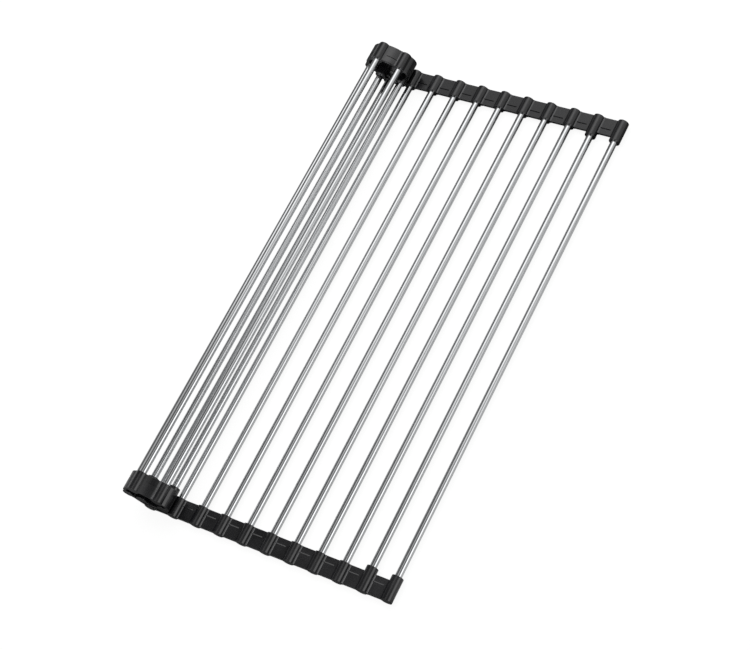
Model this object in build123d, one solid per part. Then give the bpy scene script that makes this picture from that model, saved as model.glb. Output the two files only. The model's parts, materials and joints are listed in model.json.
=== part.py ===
from build123d import *
import os
from math import atan2, cos, degrees, dist, pi, radians, remainder, sin

# Roll up dish drying rack with its left end coiled.
# X runs along the strips, Y along the rods and Z is up.
# Lengths are in millimetres, angles in degrees.

# Rods
rod_count = 16
rod_pitch = 21.6
rod_diameter = 5.7
rod_wall = 0.5

# Whole rack, from the outer face of one strip to that of the other
overall_length = 444.5

# Strips: a round barrel on each rod and a thin panel from each barrel to the next
strip_width = 16.0
barrel_diameter = 9.5
barrel_end_wall = 1.6
panel_thickness = 2.6
root_fillet = 1.0
foot_depth = 0.25

# The barrels nearest to each free end reach further in along their rods, a touch slimmer
sleeved_at_each_end = 2
sleeve_reach = 4.3
sleeve_step = 0.15

# Fits
bore_clearance = 0.03
rod_end_clearance = 0.2
bend_clearance = 0.3
nest_clearance = 0.8
cut_overrun = 1.0

# Coil, in side view. Angles are measured from +X towards +Z, and shares are of the rod pitch.
# The strip rises from its last flat rod, bows over a crown, folds down and ends inside.
coiled_rods = 5
rise_angle = 128
crown_angle = 157
crown_share = 0.955
fold_angle = 88
fold_share = 0.64
nest_angle = 120
tuck_share = 0.545

right_angle = 90
half_turn = 180
full_turn = 360
least_bow_angle = 1
halvings = 50

barrel_radius = barrel_diameter / 2
rod_radius = rod_diameter / 2
bore_radius = rod_radius + bore_clearance
axis_height = barrel_radius - foot_depth
open_length = overall_length - 2 * strip_width
rod_length = overall_length - 2 * (barrel_end_wall + rod_end_clearance)
link_count = rod_count - 1
flat_rods = rod_count - coiled_rods


# Point at a distance and an angle from another
def away(start, angle, distance):
    return start[0] + distance * cos(radians(angle)), start[1] + distance * sin(radians(angle))


# Rods from the flat free end to the free end inside the coil. The two innermost nest
# against the barrel and the panel that they lie beside.
def rod_path():
    flat = [(-rod_pitch * step, 0) for step in range(flat_rods)]
    beside, last = flat[-2:]
    risen = away(last, rise_angle, rod_pitch)
    nested = away(beside, nest_angle, barrel_diameter + nest_clearance)
    folded = away(nested, fold_angle, fold_share * rod_pitch)
    crown = away(folded, crown_angle, crown_share * rod_pitch)
    on_rising_panel = away(last, rise_angle, tuck_share * rod_pitch)
    off_panel = barrel_radius + panel_thickness / 2 + nest_clearance
    tucked = away(on_rising_panel, rise_angle - right_angle, off_panel)
    return flat + [risen, crown, folded, nested, tucked]


# Place of each rod with the rack centred, the turn of its link and the gap to the next rod.
# The last rod takes those of the link that holds it.
def rod_places():
    path = rod_path()
    across = [x for x, z in path]
    middle = (min(across) + max(across)) / 2
    turn = gap = 0
    places = []
    for number, (x, z) in enumerate(path, 1):
        if number < rod_count:
            next_x, next_z = path[number]
            heading = degrees(atan2(next_z - z, x - next_x))
            turn += remainder(heading - turn, full_turn)
            gap = dist((x, z), (next_x, next_z))
        places.append((x - middle, z + axis_height, turn, gap))
    return places


# Half the turn of a curled panel, which keeps the length of one pitch over a shorter gap
def half_bow(gap):
    low, high = 0, pi
    for _ in range(halvings):
        middle = (low + high) / 2
        if rod_pitch * sin(middle) > gap * middle:
            low = middle
        else:
            high = middle
    return degrees(low)


# Side view of a panel between two barrel centres, bowed away from the inside of the coil
def panel(gap):
    half = half_bow(gap)
    if half < least_bow_angle:
        return Pos(-gap / 2, 0) * Rectangle(gap, panel_thickness)
    radius = rod_pitch / (2 * radians(half))
    centre = (-gap / 2, radius * cos(radians(half)))
    start = -right_angle - half
    faces = [CenterArc(centre, radius + side * panel_thickness / 2, start, 2 * half) for side in (1, -1)]
    ends = [Line(faces[0] @ at, faces[1] @ at) for at in (0, 1)]
    return make_face(faces + ends)


# Side view of a barrel with its panel, which ends in a saddle round the next barrel.
# The last link of a strip holds two barrels, so its panel runs into both.
def link_outline(gap, holds_two):
    outline = Circle(barrel_radius) + panel(gap)
    barrels = [(0, 0)]
    if holds_two:
        barrels.append((-gap, 0))
        outline += Pos(-gap, 0) * Rot(0, 0, half_turn) * Circle(barrel_radius)
    else:
        outline -= Pos(-gap, 0) * Circle(barrel_radius + bend_clearance)

    # The roots of the panel are the corners on a rim, other than where its circle starts
    near = bend_clearance / 2
    roots = []
    for corner in outline.vertices():
        on_rim = any(abs(dist((corner.X, corner.Y), barrel) - barrel_radius) < near for barrel in barrels)
        if on_rim and near - gap - barrel_radius < corner.X < barrel_radius - near:
            roots.append(corner)
    return fillet(roots, root_fillet)


# One link of the front strip, with its first barrel on the Y axis and its panel towards -X
def front_link(number, turn, gap):
    holds_two = number == link_count
    sleeved = number <= sleeved_at_each_end or number > rod_count - sleeved_at_each_end
    inner = open_length / 2
    start = inner - (sleeve_reach if sleeved else 0)
    length = inner + strip_width - start
    barrels = [Pos(0, 0, 0)]
    if holds_two:
        barrels.append(Pos(-gap, 0, 0) * Rot(0, half_turn, 0))

    link = extrude(Plane.XZ.offset(inner) * link_outline(gap, holds_two), strip_width)
    if sleeved:
        sleeve = extrude(Plane.XZ.offset(start) * Circle(barrel_radius - sleeve_step), length)
        for place in barrels:
            link += place * sleeve

    # Blind bore for the rod, open at the inner end
    bore_depth = length - barrel_end_wall
    bore = extrude(Plane.XZ.offset(start - cut_overrun) * Circle(bore_radius), bore_depth + cut_overrun)
    for place in barrels:
        link -= place * bore

    # A barrel that rests on the surface has a narrow foot, level once the link is turned
    if number <= flat_rods:
        below = Box(barrel_diameter, length + 2 * cut_overrun, barrel_radius)
        link -= Rot(0, -turn, 0) * Pos(0, -start - length / 2, -axis_height - barrel_radius / 2) * below
    return link.solid()


# Thin walled tube, centred on the Y axis
def rod():
    ring = Circle(rod_radius) - Circle(rod_radius - rod_wall)
    return extrude(Plane.XZ.offset(-rod_length / 2) * ring, rod_length).solid()


def build():
    plain_rod = rod()
    pieces = {}
    for number, (x, z, turn, gap) in enumerate(rod_places(), 1):
        seat = Location((x, 0, z), (0, turn, 0))
        pieces[f"rod_{number:02d}"] = seat * plain_rod
        if number <= link_count:
            front = front_link(number, turn, gap)
            pieces[f"front_link_{number:02d}"] = seat * front
            pieces[f"rear_link_{number:02d}"] = seat * mirror(front, about=Plane.XZ)
    return pieces


pieces = build()
os.makedirs("parts", exist_ok=True)
for name, piece in pieces.items():
    export_step(piece, os.path.join("parts", name + ".step"))
for number, (x, z, turn, gap) in enumerate(rod_places(), 1):
    print(f"rod {number:02d} at x {x:.3f}, z {z:.3f}, turned {turn:.2f}, next rod {gap:.3f} away")
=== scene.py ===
import bpy
import json
from math import acos, atan2, cos, pi, radians, sin, sqrt
from mathutils import Matrix, Vector


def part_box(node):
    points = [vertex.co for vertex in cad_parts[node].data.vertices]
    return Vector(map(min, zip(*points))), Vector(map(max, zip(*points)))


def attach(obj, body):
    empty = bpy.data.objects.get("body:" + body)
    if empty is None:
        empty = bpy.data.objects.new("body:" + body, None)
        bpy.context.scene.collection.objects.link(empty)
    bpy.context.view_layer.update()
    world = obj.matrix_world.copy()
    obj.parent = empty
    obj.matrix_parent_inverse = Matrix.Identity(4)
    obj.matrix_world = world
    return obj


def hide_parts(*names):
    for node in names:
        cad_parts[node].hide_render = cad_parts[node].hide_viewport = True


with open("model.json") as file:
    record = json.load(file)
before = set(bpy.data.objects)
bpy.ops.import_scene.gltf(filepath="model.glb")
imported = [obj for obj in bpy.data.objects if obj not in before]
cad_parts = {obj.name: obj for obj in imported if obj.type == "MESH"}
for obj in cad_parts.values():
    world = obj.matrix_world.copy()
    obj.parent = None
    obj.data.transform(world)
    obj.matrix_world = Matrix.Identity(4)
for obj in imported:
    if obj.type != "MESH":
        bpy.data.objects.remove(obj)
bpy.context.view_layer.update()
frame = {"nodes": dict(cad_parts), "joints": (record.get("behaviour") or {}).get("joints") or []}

# Lengths are in metres, and angles in the dictionaries are in degrees
mm = 0.001


# Tools for modelling. Points nearer than samePoint are one, and faces and edges are picked by their
# place to within pickWithin, or by the share of a face's normal that points the wanted way

tools = dict(
    samePoint=0.001 * mm,
    pickWithin=0.01 * mm,
    straightShare=0.99,
    slantedShare=0.5,
    smoothAngle=35,
)
alongRods = (pi / 2, 0, 0)


def clearSelection():
    if bpy.context.object and bpy.context.object.mode != 'OBJECT':
        bpy.ops.object.mode_set(mode='OBJECT')
    bpy.ops.object.select_all(action='DESELECT')


def makeActive(piece):
    clearSelection()
    piece.select_set(True)
    bpy.context.view_layer.objects.active = piece


def startEdit(piece):
    makeActive(piece)
    bpy.ops.object.mode_set(mode='EDIT')


def endEdit():
    bpy.ops.object.mode_set(mode='OBJECT')


def settle(piece, name):
    makeActive(piece)
    bpy.ops.object.transform_apply(location=True, rotation=True, scale=True)
    piece.name = name
    return piece


def addCylinder(name, sides, radius, length, middle=(0, 0, 0)):
    clearSelection()
    bpy.ops.mesh.primitive_cylinder_add(vertices=sides, radius=radius, depth=length, end_fill_type='NGON',
                                        rotation=alongRods, location=middle)
    return settle(bpy.context.object, name)


def isAt(value, place):
    return abs(value - place) < tools["pickWithin"]


def startPicking(piece, kind):
    startEdit(piece)
    bpy.ops.mesh.select_mode(type=kind)
    bpy.ops.mesh.select_all(action='DESELECT')
    endEdit()


def selectFaces(piece, wanted):
    startPicking(piece, 'FACE')
    for face in piece.data.polygons:
        face.select = wanted(face)
    bpy.ops.object.mode_set(mode='EDIT')


def selectEdges(piece, wanted):
    startPicking(piece, 'EDGE')
    corners = piece.data.vertices
    for edge in piece.data.edges:
        a, b = (corners[i].co for i in edge.vertices)
        edge.select = wanted(a, b)
    bpy.ops.object.mode_set(mode='EDIT')


# Hollow that goes into the selected end face and leaves a ring of this width round it
def sinkEnd(ring, shift):
    bpy.ops.mesh.inset(thickness=ring, depth=0)
    bpy.ops.mesh.extrude_region_move(TRANSFORM_OT_translate={"value": (0, shift, 0)})
    endEdit()


def roundSelected(size, segments):
    bpy.ops.mesh.bevel(offset=size, segments=segments, affect='EDGES')
    endEdit()


# Cut along a plane through the whole mesh
def cutAcross(place, direction, **choices):
    bpy.ops.mesh.select_all(action='SELECT')
    bpy.ops.mesh.bisect(plane_co=place, plane_no=direction, threshold=tools["samePoint"], **choices)


# Loops across a piece at these places along X
def addLoops(piece, places):
    startEdit(piece)
    for x in places:
        cutAcross((x, 0, 0), (1, 0, 0))
    endEdit()


def applyModifier(piece, kind, **values):
    makeActive(piece)
    modifier = piece.modifiers.new(kind.lower(), kind)
    for key, value in values.items():
        setattr(modifier, key, value)
    bpy.ops.object.modifier_apply(modifier=modifier.name)


def cutOrJoin(piece, other, operation):
    applyModifier(piece, 'BOOLEAN', object=other, operation=operation, solver='EXACT')
    bpy.data.objects.remove(other)


def finishSurface(piece):
    startEdit(piece)
    bpy.ops.mesh.select_all(action='SELECT')
    bpy.ops.mesh.remove_doubles(threshold=tools["samePoint"])
    bpy.ops.mesh.normals_make_consistent(inside=False)
    endEdit()
    bpy.ops.object.shade_smooth_by_angle(angle=radians(tools["smoothAngle"]))


def dress(piece, *materials):
    piece.data.materials.clear()
    for material in materials:
        piece.data.materials.append(material)


# Copy with its own mesh, shaded by its large faces so that small roundings leave them flat
def copyPiece(source, name, matrix):
    piece = source.copy()
    piece.data = source.data.copy()
    piece.name = name
    bpy.context.collection.objects.link(piece)
    piece.data.transform(matrix)
    if matrix.determinant() < 0:
        piece.data.flip_normals()
    applyModifier(piece, 'WEIGHTED_NORMAL', keep_sharp=True)
    return piece


# Places of the rods and turns of the links, from the frame

rodCount = sum(1 for node in frame["nodes"] if node.startswith("rod_"))
linkCount = rodCount - 1


def centreOf(node):
    low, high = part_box(node)
    return (low + high) / 2


rodPlaces = [centreOf(f"rod_{number:02d}") for number in range(1, rodCount + 1)]
for joint in frame["joints"]:
    number = int(joint["name"].removeprefix("bend_"))
    rodPlaces[number - 1] = Vector(joint["pos_m"])


def turnOf(number):
    here, following = rodPlaces[number - 1], rodPlaces[number]
    return atan2(following.z - here.z, here.x - following.x)


def gapAfter(number):
    return (rodPlaces[number] - rodPlaces[number - 1]).length


# The third rod from the flat end is the first whose barrels are only as wide as the strips
plainRod = 3
flatLow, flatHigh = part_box(f"front_link_{plainRod:02d}")
rodLow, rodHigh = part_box(f"rod_{plainRod:02d}")
axisHeight = rodPlaces[plainRod - 1].z
pitch = gapAfter(plainRod - 1)
innerFace = flatHigh.y
outerFace = flatLow.y
print("frame read:", rodCount, "rods at", round(pitch / mm, 2), "mm")


# Materials

white = (1, 1, 1, 1)


def grey(level):
    return (level, level, level)


# Node with its settings. Each input is given by label or number, as a plain value or an output to link
def addNode(nodes, links, kind, inputs, **settings):
    node = nodes.new(kind)
    for key, value in settings.items():
        setattr(node, key, value)
    for key, given in inputs.items():
        if isinstance(given, bpy.types.NodeSocket):
            links.new(given, node.inputs[key])
        else:
            node.inputs[key].default_value = given
    return node


def addMath(nodes, links, operation, *values):
    return addNode(nodes, links, 'ShaderNodeMath', dict(enumerate(values)), operation=operation).outputs[0]


def addMapRange(nodes, links, value, start, end, **choices):
    inputs = {"Value": value, "From Min": start[0], "From Max": start[1], "To Min": end[0], "To Max": end[1]}
    return addNode(nodes, links, 'ShaderNodeMapRange', inputs, **choices).outputs[0]


# A mix of numbers takes them at its sockets 2 and 3, and a mix of colours at 6 and 7
def addMix(nodes, links, share, first, second):
    return addNode(nodes, links, 'ShaderNodeMix', {"Factor": share, 2: first, 3: second}).outputs[0]


def addColourMix(nodes, links, share, first, second):
    inputs = {"Factor": share, 6: first, 7: second}
    return addNode(nodes, links, 'ShaderNodeMix', inputs, data_type='RGBA').outputs[2]


# Ramp through (place, colour) stops, from the lowest place to the highest
def addRamp(nodes, links, source, stops):
    ramp = nodes.new('ShaderNodeValToRGB')
    elements = ramp.color_ramp.elements
    for place, _ in stops[1:-1]:
        elements.new(place)
    for element, (place, colour) in zip(elements, stops):
        element.position = place
        element.color = (*colour, 1)
    links.new(source, ramp.inputs[0])
    return ramp.outputs[0]


def addBump(nodes, links, shader, finish, height):
    inputs = {"Height": height, "Strength": finish["bumpStrength"], "Distance": finish["bumpHeight"]}
    bump = addNode(nodes, links, 'ShaderNodeBump', inputs)
    links.new(bump.outputs[0], shader.inputs["Normal"])


def newMaterial(name):
    material = bpy.data.materials.new(name)
    material.use_nodes = True
    nodes, links = material.node_tree.nodes, material.node_tree.links
    return material, nodes, links, nodes["Principled BSDF"]


# Detail of the two noises
unevenDetail = dict(broad=3, fine=5)


# Uneven tone: a broad drift and a fine grain, mixed to one value. A low stretch draws both out along Y
def makeUnevenGroup():
    group = bpy.data.node_groups.new("unevenTone", 'ShaderNodeTree')
    for label in ("broad", "fine", "stretch", "fineShare"):
        group.interface.new_socket(label, in_out='INPUT', socket_type='NodeSocketFloat')
    group.interface.new_socket("value", in_out='OUTPUT', socket_type='NodeSocketFloat')
    nodes, links = group.nodes, group.links
    given = nodes.new('NodeGroupInput').outputs
    place = nodes.new('ShaderNodeTexCoord').outputs["Object"]
    stretch = addNode(nodes, links, 'ShaderNodeCombineXYZ', {"X": 1, "Y": given["stretch"], "Z": 1})
    factors = {0: place, 1: stretch.outputs[0]}
    drawn = addNode(nodes, links, 'ShaderNodeVectorMath', factors, operation='MULTIPLY')
    noises = []
    for label, detail in unevenDetail.items():
        inputs = {"Vector": drawn.outputs[0], "Scale": given[label], "Detail": detail}
        noises.append(addNode(nodes, links, 'ShaderNodeTexNoise', inputs).outputs[0])
    value = addMix(nodes, links, given["fineShare"], *noises)
    links.new(value, nodes.new('NodeGroupOutput').inputs["value"])
    return group


unevenGroup = makeUnevenGroup()


def addUneven(nodes, links, values):
    return addNode(nodes, links, 'ShaderNodeGroup', values, node_tree=unevenGroup).outputs[0]


# Colour and roughness that drift between two values with the same uneven tone
def addTone(nodes, links, shader, finish, dark, light):
    tone = addUneven(nodes, links, finish["tone"])
    colours = list(zip(finish["colourStops"], (dark, light)))
    levels = list(zip(finish["roughnessStops"], map(grey, finish["roughness"])))
    links.new(addRamp(nodes, links, tone, colours), shader.inputs["Base Color"])
    links.new(addRamp(nodes, links, tone, levels), shader.inputs["Roughness"])
    return tone


# Black silicone, and the paler rim beside each crease, whose lighter colour is a painted highlight for the
# light line the lip catches
silicone = dict(
    darkColour=(0.002, 0.002, 0.0025),
    lightColour=(0.006, 0.006, 0.007),
    # Colours of the rim: a painted highlight, paler than the silicone
    rimPaintedHighlightDark=(0.040, 0.040, 0.041),
    rimPaintedHighlightLight=(0.060, 0.060, 0.062),
    roughness=(0.16, 0.28),
    specular=0.75,
    tone=dict(broad=60, fine=2600, stretch=1, fineShare=0.35),
    colourStops=(0.35, 0.65),
    roughnessStops=(0.3, 0.7),
    grain=dict(broad=900, fine=5200, stretch=1, fineShare=0.5),
    bumpStrength=0.2,
    bumpHeight=0.08 * mm,
)


def makeSilicone(name, dark, light):
    material, nodes, links, shader = newMaterial(name)
    shader.inputs["Specular IOR Level"].default_value = silicone["specular"]
    addTone(nodes, links, shader, silicone, dark, light)
    addBump(nodes, links, shader, silicone, addUneven(nodes, links, silicone["grain"]))
    return material


# Drawn stainless steel, whose grain runs along the rod
steel = dict(
    darkColour=(0.60, 0.61, 0.62),
    lightColour=(0.74, 0.75, 0.76),
    roughness=(0.06, 0.12),
    tone=dict(broad=300, fine=9000, stretch=0.02, fineShare=0.5),
    colourStops=(0.3, 0.7),
    roughnessStops=(0.3, 0.7),
    bumpStrength=0.05,
    bumpHeight=0.02 * mm,
)


def makeSteel():
    material, nodes, links, shader = newMaterial("drawnStainless")
    shader.inputs["Metallic"].default_value = 1
    tone = addTone(nodes, links, shader, steel, steel["darkColour"], steel["lightColour"])
    addBump(nodes, links, shader, steel, tone)
    return material


siliconeMaterial = makeSilicone("siliconeBlack", silicone["darkColour"], silicone["lightColour"])
# Rim material: the silicone with a paler colour, a painted highlight along the lip
paintedHighlightRimMaterial = makeSilicone("siliconeRimPaintedHighlight", silicone["rimPaintedHighlightDark"], silicone["rimPaintedHighlightLight"])
stripMaterials = (siliconeMaterial, paintedHighlightRimMaterial)
steelMaterial = makeSteel()
print("materials made")


# Rods: bright tubes with rounded ends

tube = dict(
    radius=(rodHigh.x - rodLow.x) / 2,
    length=rodHigh.y - rodLow.y,
    wall=0.5 * mm,
    endRound=0.15 * mm,
    roundSegments=2,
    endDepth=6 * mm,
    sides=64,
)


def makeTube():
    t = tube
    piece = addCylinder("tubeForm", t["sides"], t["radius"], t["length"])
    for end in (-1, 1):
        selectFaces(piece, lambda face: face.normal.y * end > tools["straightShare"])
        sinkEnd(t["wall"], -end * t["endDepth"])

    def onOuterRim(a, b):
        atEnds = isAt(abs(a.y), t["length"] / 2) and isAt(abs(b.y), t["length"] / 2)
        return atEnds and min(a.xz.length, b.xz.length) > t["radius"] - t["wall"] / 2

    selectEdges(piece, onOuterRim)
    roundSelected(t["endRound"], t["roundSegments"])
    finishSurface(piece)
    dress(piece, steelMaterial)
    return piece


# Links of the strips: a barrel and the panel that leaves it

link = dict(
    barrelRadius=flatHigh.z - axisHeight,
    boreClearance=0.03 * mm,
    mouthDepth=3 * mm,
    rimRound=0.3 * mm,
    panelThickness=2.6 * mm,
    panelSetback=0.05 * mm,
    edgeRound=0.25 * mm,
    roundSegments=3,
    shortestRounded=0.05 * mm,
    # Flare of the panel into its barrel, and saddle round the next one
    flare=1.0 * mm,
    flareSteps=5,
    saddleGap=0.02 * mm,
    saddleLengthShare=2,
    # Fine moulded line on both faces
    lineWidth=1.0 * mm,
    lineDepth=0.5 * mm,
    lineLengthShare=0.42,
    lineShiftShare=0.03,
    linePlaceShare=0.34,
    # Lip beside the crease, as shares of its width and height from the end of the panel
    lipWidth=1.4 * mm,
    lipHeight=0.5 * mm,
    lipShares=((0, 0.6), (0.2, 0.85), (0.4, 1), (0.55, 0.93), (0.68, 0.72), (0.84, 0.34), (1, 0)),
    curlStep=6,
    leastCurl=1,
    halvings=50,
    sides=72,
    # A barrel no further than this above the resting height has a foot
    footWithin=1 * mm,
    # Digits to which links must agree, in millimetres and radians, to be copies of one form
    sizeDigits=2,
    turnDigits=3,
)
panelInner = innerFace - link["panelSetback"]
panelOuter = outerFace + link["panelSetback"]
panelMiddle = (panelInner + panelOuter) / 2
panelWidth = panelInner - panelOuter


# Half the turn of a panel that keeps its length over a shorter gap between two barrels
def halfCurl(gap):
    low, high = 0, pi
    for _ in range(link["halvings"]):
        middle = (low + high) / 2
        if pitch * sin(middle) > gap * middle:
            low = middle
        else:
            high = middle
    return low if low > radians(link["leastCurl"]) else 0


def curlOf(gap):
    half = halfCurl(gap)
    radius = pitch / (2 * half)
    return half, radius, Vector((-gap / 2, radius * cos(half)))


# Bends a flat panel round to that curl
def curl(piece, gap):
    half, radius, centre = curlOf(gap)
    loops = round(2 * half / radians(link["curlStep"]))
    addLoops(piece, [-pitch * loop / loops for loop in range(1, loops)])
    for vertex in piece.data.vertices:
        along = half * (1 + 2 * vertex.co.x / pitch)
        out = radius - vertex.co.z
        vertex.co.x = centre.x + out * sin(along)
        vertex.co.z = centre.y - out * cos(along)


# The same the other way, for a cutter that must be round once the panel is curled
def uncurl(piece, gap):
    half, radius, centre = curlOf(gap)
    for vertex in piece.data.vertices:
        across, up = vertex.co.x - centre.x, vertex.co.z - centre.y
        vertex.co.x = pitch * (atan2(across, -up) / half - 1) / 2
        vertex.co.z = radius - sqrt(across ** 2 + up ** 2)


def makeBarrel(reach, x, footTurn):
    k = link
    inner = innerFace + reach
    piece = addCylinder("barrelForm", k["sides"], k["barrelRadius"], inner - outerFace,
                        (0, (inner + outerFace) / 2, 0))
    selectEdges(piece, lambda a, b: isAt(a.y, b.y))
    roundSelected(k["rimRound"], k["roundSegments"])
    # Mouth of the bore, where the rod goes in
    nearEnd = inner - tools["pickWithin"]
    selectFaces(piece, lambda face: face.normal.y > tools["straightShare"] and face.center.y > nearEnd)
    boreRadius = tube["radius"] + k["boreClearance"]
    sinkEnd(k["barrelRadius"] - k["rimRound"] - boreRadius, -k["mouthDepth"])
    dress(piece, *stripMaterials)
    # Flat foot along the underside of a barrel that rests on the surface
    if footTurn is not None:
        down = Matrix.Rotation(-footTurn, 3, 'Y') @ Vector((0, 0, -1))
        startEdit(piece)
        cutAcross(down * axisHeight, down, use_fill=True, clear_outer=True)
        endEdit()
    piece.data.transform(Matrix.Translation((x, 0, 0)))
    return piece


# The upper face of a panel is 1 and the lower one -1
def faceOf(place):
    return 1 if place.z > 0 else -1


# How far from a barrel's centre a panel with this flare meets it, on either face
def flareStart(face, gap, flare):
    half = link["panelThickness"] / 2 + flare
    reach = link["barrelRadius"]
    if not halfCurl(gap):
        return sqrt(reach ** 2 - half ** 2)
    radius = curlOf(gap)[1]
    out = radius - face * half
    return radius * acos((radius ** 2 + out ** 2 - reach ** 2) / (2 * radius * out))


def flareHeight(distance):
    k = link
    rest = k["flare"] - distance
    return k["panelThickness"] / 2 + k["flare"] - sqrt(max(0, k["flare"] ** 2 - rest ** 2))


# Loops across the panel beside each root, drawn apart to flare into the barrel
def flareRoots(piece, gap, holdsTwo):
    k = link
    starts = {face: flareStart(face, gap, k["flare"]) for face in (1, -1)}
    steps = {start + k["flare"] * step / k["flareSteps"] for start in starts.values()
             for step in range(k["flareSteps"] + 1)}
    roots = [(0, -1), (-pitch, 1)] if holdsTwo else [(0, -1)]
    for axis, side in roots:
        addLoops(piece, [axis + side * step for step in sorted(steps)])
        for vertex in piece.data.vertices:
            face = faceOf(vertex.co)
            distance = (vertex.co.x - axis) * side - starts[face]
            if distance < k["flare"] - tools["samePoint"]:
                vertex.co.z = face * flareHeight(max(0, distance))


# Height of the lip at a share of its width. It keeps its first height behind its start, where the saddle cuts
def lipHeightAt(share):
    shares = link["lipShares"]
    if share <= 0:
        return shares[0][1] * link["lipHeight"] if share > -1 else 0
    for (before, low), (after, high) in zip(shares, shares[1:]):
        if share <= after:
            return (low + (high - low) * (share - before) / (after - before)) * link["lipHeight"]
    return 0


# Lip along the end of each face, beside the crease. Its upper and lower faces get the rim material, whose
# paler colour is a painted highlight
def addLips(piece, gap):
    k = link
    ends = {face: pitch - flareStart(face, gap, 0) for face in (1, -1)}
    addLoops(piece, [share * k["lipWidth"] - end for end in sorted(set(ends.values()))
                     for share, _ in k["lipShares"]])
    for vertex in piece.data.vertices:
        face = faceOf(vertex.co)
        vertex.co.z += face * lipHeightAt((vertex.co.x + ends[face]) / k["lipWidth"])
    # Faces on the lip take the rim material and its painted highlight
    for polygon in piece.data.polygons:
        onLip = 0 < polygon.center.x + ends[faceOf(polygon.center)] < k["lipWidth"]
        if onLip and abs(polygon.normal.z) > tools["slantedShare"]:
            polygon.material_index = stripMaterials.index(paintedHighlightRimMaterial)


# Saddle that fits round the next barrel
def cutSaddle(piece, gap):
    k = link
    cutter = addCylinder("saddleCutter", k["sides"], k["barrelRadius"] + k["saddleGap"],
                         k["saddleLengthShare"] * panelWidth, (-gap, panelMiddle, 0))
    if halfCurl(gap):
        uncurl(cutter, gap)
    cutOrJoin(piece, cutter, 'DIFFERENCE')


def roundLongEdges(piece):
    def onFace(point):
        return abs(point.z) > link["panelThickness"] / 2 - tools["pickWithin"]

    def isLong(a, b):
        onSide = any(isAt(a.y, side) and isAt(b.y, side) for side in (panelInner, panelOuter))
        oneFace = onFace(a) and onFace(b) and a.z * b.z > 0
        return onSide and oneFace and abs(a.x - b.x) > link["shortestRounded"]

    selectEdges(piece, isLong)
    roundSelected(link["edgeRound"], link["roundSegments"])


# Cutter for the line, one wide and high: a cube on edge whose top and bottom edges are drawn over to its
# outer side, which is upright then
def makeLineCutter():
    diagonal = 1
    side = diagonal / sqrt(2)
    clearSelection()
    bpy.ops.mesh.primitive_cube_add(size=side, rotation=(pi / 4, 0, 0))
    cutter = settle(bpy.context.object, "lineCutter")
    for vertex in cutter.data.vertices:
        if isAt(vertex.co.y, 0):
            vertex.co.y -= diagonal / 2
    return cutter, side


# Fine moulded line on both faces, a ledge whose slope faces the outer side
def cutLines(piece):
    k = link
    x = -pitch / 2 - k["lineShiftShare"] * pitch
    y = panelInner - k["linePlaceShare"] * panelWidth
    for face in (1, -1):
        cutter, side = makeLineCutter()
        cutter.scale = (k["lineLengthShare"] * pitch / side, k["lineWidth"], 2 * k["lineDepth"])
        cutter.location = (x, y, face * k["panelThickness"] / 2)
        cutOrJoin(piece, settle(cutter, "lineCutter"), 'DIFFERENCE')


def makePanel(gap, holdsTwo):
    clearSelection()
    bpy.ops.mesh.primitive_cube_add(size=1, location=(-pitch / 2, panelMiddle, 0))
    bpy.context.object.scale = (pitch, panelWidth, link["panelThickness"])
    piece = settle(bpy.context.object, "panelForm")
    flareRoots(piece, gap, holdsTwo)
    dress(piece, *stripMaterials)
    if not holdsTwo:
        addLips(piece, gap)
        cutSaddle(piece, gap)
    roundLongEdges(piece)
    cutLines(piece)
    if halfCurl(gap):
        curl(piece, gap)
    return piece


def makeLink(reach, gap, holdsTwo, footTurn):
    piece = makePanel(gap, holdsTwo)
    for x in ((0, -gap) if holdsTwo else (0,)):
        cutOrJoin(piece, makeBarrel(reach, x, footTurn), 'UNION')
    finishSurface(piece)
    return piece


def placeRodsAndLinks():
    tubeForm = makeTube()
    forms = {}
    acrossRack = Matrix.Scale(-1, 4, (0, 1, 0))
    for number in range(1, rodCount + 1):
        place = rodPlaces[number - 1]
        span = f"span_{min(number, linkCount):02d}"
        turn = turnOf(min(number, linkCount))
        seat = Matrix.Translation(place) @ Matrix.Rotation(turn, 4, 'Y')
        rod = copyPiece(tubeForm, f"rodTube{number:02d}", seat)
        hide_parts(f"rod_{number:02d}")
        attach(rod, span)
        if number > linkCount:
            continue
        node = f"link_{number:02d}"
        gap = gapAfter(number)
        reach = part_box(f"front_{node}")[1].y - innerFace
        footTurn = turn if place.z < axisHeight + link["footWithin"] else None
        sizes = [round(size / mm, link["sizeDigits"]) for size in (reach, gap)]
        key = (*sizes, footTurn and round(footTurn, link["turnDigits"]))
        if key not in forms:
            forms[key] = makeLink(reach, gap, number == linkCount, footTurn)
        for side, matrix in (("front", seat), ("rear", acrossRack @ seat)):
            piece = copyPiece(forms[key], f"{side}Strip{number:02d}", matrix)
            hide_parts(f"{side}_{node}")
            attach(piece, span)
    for form in [tubeForm, *forms.values()]:
        bpy.data.objects.remove(form)


placeRodsAndLinks()
print("rods and strips placed")


# Floor, light and camera

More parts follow.
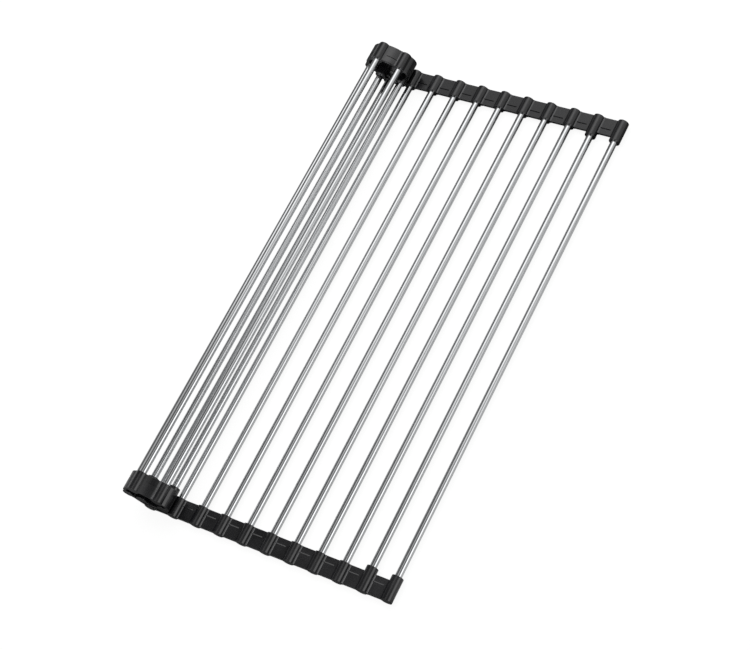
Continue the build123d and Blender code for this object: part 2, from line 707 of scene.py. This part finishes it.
studio = dict(
    floorSize=8.0,
    floorColour=(0.10, 0.10, 0.10, 1),
    floorRoughness=0.9,
    # Brightness to the camera and in shiny surfaces, and the stretches of Y where the latter sets in and ends
    floorLift=0.905,
    floorMirrored=0.45,
    mirroredFrom=(-0.224, -0.214),
    mirroredTo=(0.165, 0.195),
    worldStrength=0.75,
    keySize=1.6,
    keyPower=22,
    keyPlace=(-0.55, 0.55, 1.5),
    # What shiny surfaces mirror, as (angle from overhead towards +X, brightness). The first room is
    # seen by rays that lean towards -Y, and each of the others by rays that lean further towards +Y.
    # roomChanges are the leans over which each room gives way to the next
    rooms=(
        ((-92, 0.40), (-62, 0.20), (-48, 1.4), (-14, 1.4), (-2, 0.44), (12, 0.17), (36, 0.15), (49, 1.75),
         (72, 1.75), (84, 0.50), (92, 0.42)),
        ((-92, 0.38), (-72, 0.20), (-58, 0.13), (-40, 0.13), (-23, 0.07), (-15, 0.64), (-4, 0.50), (10, 0.17),
         (36, 0.15), (49, 1.75), (72, 1.75), (84, 0.50), (92, 0.42)),
        ((-92, 0.38), (-72, 0.16), (-58, 0.06), (-42, 0.18), (-26, 0.98), (-12, 1.60), (0, 1.50), (14, 0.88),
         (28, 0.55), (44, 0.64), (60, 0.84), (76, 0.66), (92, 0.46)),
        ((-92, 0.38), (-72, 0.16), (-58, 0.08), (-42, 0.22), (-28, 0.62), (-16, 1.25), (-4, 1.75), (10, 1.70),
         (24, 1.10), (38, 0.74), (54, 0.56), (74, 0.50), (92, 0.44)),
    ),
    roomChanges=((-0.40, -0.20), (0.25, 0.39), (0.39, 0.47)),
)


def splitCoordinates(nodes, links, kind):
    place = nodes.new('ShaderNodeTexCoord').outputs[kind]
    return addNode(nodes, links, 'ShaderNodeSeparateXYZ', {"Vector": place}).outputs


# Pale to the camera, but it throws little light back up. Shiny surfaces mirror only the part under the rods
def makeFloor():
    s = studio
    clearSelection()
    bpy.ops.mesh.primitive_plane_add(size=s["floorSize"], location=(0, 0, 0))
    floor = bpy.context.object
    floor.name = "floor"
    material, nodes, links, shader = newMaterial("paleFloor")
    shader.inputs["Base Color"].default_value = s["floorColour"]
    shader.inputs["Roughness"].default_value = s["floorRoughness"]
    shader.inputs["Specular IOR Level"].default_value = 0
    shader.inputs["Emission Color"].default_value = white
    seen = nodes.new('ShaderNodeLightPath').outputs
    along = splitCoordinates(nodes, links, "Object")["Y"]
    mirrored = seen["Is Glossy Ray"]
    for start, end in ((s["mirroredFrom"], (0, 1)), (s["mirroredTo"], (1, 0))):
        mirrored = addMath(nodes, links, 'MULTIPLY', mirrored, addMapRange(nodes, links, along, start, end))
    mirrored = addMath(nodes, links, 'MULTIPLY', mirrored, s["floorMirrored"])
    lift = addMath(nodes, links, 'MULTIPLY_ADD', seen["Is Camera Ray"], s["floorLift"], mirrored)
    links.new(lift, shader.inputs["Emission Strength"])
    dress(floor, material)


# One room as a ramp round the rods, from a half turn towards -X to a half turn towards +X
def addRoom(nodes, links, around, stops):
    levels = [((radians(angle) + pi) / (2 * pi), grey(level)) for angle, level in stops]
    return addRamp(nodes, links, around, levels)


# An even white room, but shiny surfaces mirror soft boxes and dark gaps between them
def makeWorld():
    s = studio
    world = bpy.data.worlds.new("studio")
    bpy.context.scene.world = world
    world.use_nodes = True
    nodes, links = world.node_tree.nodes, world.node_tree.links
    background = nodes["Background"]
    ray = splitCoordinates(nodes, links, "Generated")
    angle = addMath(nodes, links, 'ARCTAN2', ray["X"], ray["Z"])
    around = addMapRange(nodes, links, angle, (-pi, pi), (0, 1))
    room = addRoom(nodes, links, around, s["rooms"][0])
    for stops, change in zip(s["rooms"][1:], s["roomChanges"]):
        lean = addMapRange(nodes, links, ray["Y"], change, (0, 1), interpolation_type='SMOOTHSTEP')
        room = addColourMix(nodes, links, lean, room, addRoom(nodes, links, around, stops))
    seen = nodes.new('ShaderNodeLightPath').outputs
    links.new(addColourMix(nodes, links, seen["Is Glossy Ray"], white, room), background.inputs["Color"])
    # Matt surfaces are lit a little less than the world shows
    strength = addMix(nodes, links, seen["Is Diffuse Ray"], 1, s["worldStrength"])
    links.new(strength, background.inputs["Strength"])


def makeKeyLight():
    s = studio
    data = bpy.data.lights.new("softKey", 'AREA')
    data.shape = 'SQUARE'
    data.size = s["keySize"]
    data.energy = s["keyPower"]
    lamp = bpy.data.objects.new("softKey", data)
    bpy.context.collection.objects.link(lamp)
    lamp.location = s["keyPlace"]
    lamp.rotation_euler = (-lamp.location).to_track_quat('-Z', 'Y').to_euler()
    lamp.visible_glossy = False


makeFloor()
makeWorld()
makeKeyLight()

# The sensor and the lens are in millimetres, as the camera takes them
cameraView = dict(
    sensor=36,
    lens=85.1,
    fromFirstRod=(505.2 * mm, -506.5 * mm, 1180.2 * mm),
    elevation=56.16,
    azimuth=-51.67,
    roll=-28.72,
)


def makeCamera():
    c = cameraView
    data = bpy.data.cameras.new("photoView")
    data.sensor_width = c["sensor"]
    data.lens = c["lens"]
    camera = bpy.data.objects.new("photoView", data)
    bpy.context.collection.objects.link(camera)
    tilt, around, roll = (radians(c[key]) for key in ("elevation", "azimuth", "roll"))
    ahead = Vector((sin(around) * cos(tilt), cos(around) * cos(tilt), -sin(tilt)))
    level = ahead.cross(Vector((0, 0, 1))).normalized()
    over = level.cross(ahead)
    right = level * cos(roll) + over * sin(roll)
    up = right.cross(ahead)
    turned = Matrix((right, up, -ahead)).transposed().to_4x4()
    camera.matrix_world = Matrix.Translation(rodPlaces[0] + Vector(c["fromFirstRod"])) @ turned
    bpy.context.scene.camera = camera


makeCamera()
bpy.context.scene.view_settings.view_transform = 'Standard'
print("stage, light and camera set")
